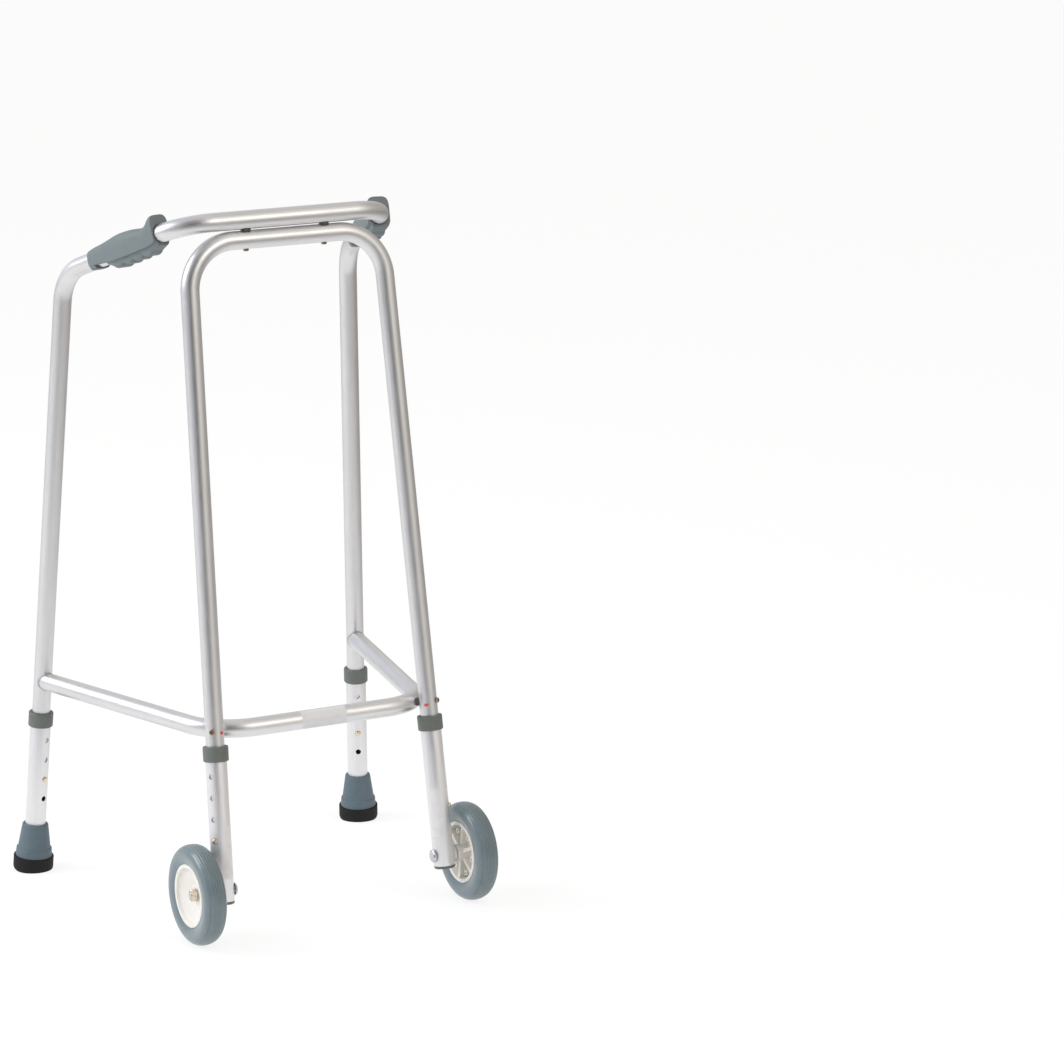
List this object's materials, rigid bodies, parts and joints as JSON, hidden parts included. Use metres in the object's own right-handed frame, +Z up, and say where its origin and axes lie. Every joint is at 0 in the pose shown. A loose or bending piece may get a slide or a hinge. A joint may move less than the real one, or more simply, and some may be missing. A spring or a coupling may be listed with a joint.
{
  "type": "wheeled walking frame",
  "caption": "Walking frame of bent aluminium tube with telescopic legs on snap buttons, front wheels, rubber rear feet and moulded handgrips.",
  "frame": {"origin": "on the floor, in the middle of the overall width and depth, with both wheels and both feet standing", "axes": "+Z up; -Y is the front, where the wheels are; X runs across, the user's right is -X; the user stands at +Y"},
  "size_m": [0.5038, 0.4712, 0.8474],
  "materials": {
    "frame_aluminium": "satin anodised",
    "leg_aluminium": "satin anodised, a little lighter",
    "grip": "fine matt grain",
    "collar": "moulded, satin",
    "ferrule": "matt",
    "sole": "matt",
    "tyre": "matt, finely grooved",
    "hub": "moulded, satin",
    "zinc": "zinc plated",
    "brass": "polished, a little dulled",
    "spring_steel": "bright rolled",
    "saddle": "moulded, matt"
  },
  "bodies": {
    "frame": {"upper_frame_tube": "frame_aluminium", "front_frame_tube": "frame_aluminium", "lower_brace_tube": "frame_aluminium", "handgrip_right": "grip", "handgrip_left": "grip", "top_screw_right": "zinc", "top_screw_left": "zinc", "top_nut_right": "zinc", "top_nut_left": "zinc", "top_saddle_right": "saddle", "top_saddle_left": "saddle", "brace_bolt_right": "zinc", "brace_bolt_left": "zinc", "brace_nut_right": "zinc", "brace_nut_left": "zinc", "brace_saddle_right": "saddle", "brace_saddle_left": "saddle", "brace_end_saddle_right": "collar", "brace_end_saddle_left": "collar", "brace_end_screw_right": "zinc", "brace_end_screw_left": "zinc", "button_spring_front_right": "spring_steel", "button_spring_front_left": "spring_steel", "button_spring_rear_right": "spring_steel", "button_spring_rear_left": "spring_steel"},
    "rear_leg_right": {"rear_leg_tube_right": "leg_aluminium", "rear_leg_collar_right": "collar", "foot_ferrule_right": "ferrule", "foot_sole_right": "sole", "foot_washer_right": "zinc"},
    "front_leg_right": {"front_leg_tube_right": "leg_aluminium", "front_leg_collar_right": "collar", "leg_end_plug_right": "collar", "axle_bolt_right": "zinc", "axle_spacer_right": "hub", "axle_sleeve_right": "zinc", "axle_washer_right": "zinc", "axle_nut_right": "zinc"},
    "wheel_right": {"tyre_right": "tyre", "wheel_hub_right": "hub"},
    "button_rear_right": {"snap_button_rear_right": "brass"},
    "button_front_right": {"snap_button_front_right": "brass"},
    "rear_leg_left": {"rear_leg_tube_left": "leg_aluminium", "rear_leg_collar_left": "collar", "foot_ferrule_left": "ferrule", "foot_sole_left": "sole", "foot_washer_left": "zinc"},
    "front_leg_left": {"front_leg_tube_left": "leg_aluminium", "front_leg_collar_left": "collar", "leg_end_plug_left": "collar", "axle_bolt_left": "zinc", "axle_spacer_left": "hub", "axle_sleeve_left": "zinc", "axle_washer_left": "zinc", "axle_nut_left": "zinc"},
    "wheel_left": {"tyre_left": "tyre", "wheel_hub_left": "hub"},
    "button_rear_left": {"snap_button_rear_left": "brass"},
    "button_front_left": {"snap_button_front_left": "brass"}
  },
  "joints": [
    {"name": "rear_leg_right_slide", "type": "slide", "parent": "frame", "child": "rear_leg_right", "axis": [-0.0484, 0.0889, -0.9949], "range_m": [-0.0254, 0.0508], "deforming": ["snap_button_rear_right", "button_spring_rear_right"]},
    {"name": "button_rear_right_press", "type": "slide", "parent": "frame", "child": "button_rear_right", "axis": [-0.3389, 0.9355, 0.1001], "range_m": [0, 0.0042], "stiffness_N_per_m": 1500, "springref_m": -0.004, "deforming": ["button_spring_rear_right"]},
    {"name": "front_leg_right_slide", "type": "slide", "parent": "frame", "child": "front_leg_right", "axis": [-0.0272, -0.1358, -0.9904], "range_m": [0, 0.0762], "deforming": ["snap_button_front_right", "button_spring_front_right"]},
    {"name": "button_front_right_press", "type": "slide", "parent": "frame", "child": "button_front_right", "axis": [0.84, 0.534, -0.0963], "range_m": [0, 0.0042], "stiffness_N_per_m": 1500, "springref_m": -0.004, "deforming": ["button_spring_front_right"]},
    {"name": "wheel_right_spin", "type": "hinge", "parent": "front_leg_right", "child": "wheel_right", "pos_m": [-0.1803, -0.17576, 0.06], "axis": [1, 0, 0], "continuous": true},
    {"name": "rear_leg_left_slide", "type": "slide", "parent": "frame", "child": "rear_leg_left", "axis": [0.0484, 0.0889, -0.9949], "range_m": [-0.0254, 0.0508], "deforming": ["snap_button_rear_left", "button_spring_rear_left"]},
    {"name": "button_rear_left_press", "type": "slide", "parent": "frame", "child": "button_rear_left", "axis": [0.3389, 0.9355, 0.1001], "range_m": [0, 0.0042], "stiffness_N_per_m": 1500, "springref_m": -0.004, "deforming": ["button_spring_rear_left"]},
    {"name": "front_leg_left_slide", "type": "slide", "parent": "frame", "child": "front_leg_left", "axis": [0.0272, -0.1358, -0.9904], "range_m": [0, 0.0762], "deforming": ["snap_button_front_left", "button_spring_front_left"]},
    {"name": "button_front_left_press", "type": "slide", "parent": "frame", "child": "button_front_left", "axis": [-0.84, 0.534, -0.0963], "range_m": [0, 0.0042], "stiffness_N_per_m": 1500, "springref_m": -0.004, "deforming": ["button_spring_front_left"]},
    {"name": "wheel_left_spin", "type": "hinge", "parent": "front_leg_left", "child": "wheel_left", "pos_m": [0.1803, -0.17576, 0.06], "axis": [1, 0, 0], "continuous": true}
  ]
}
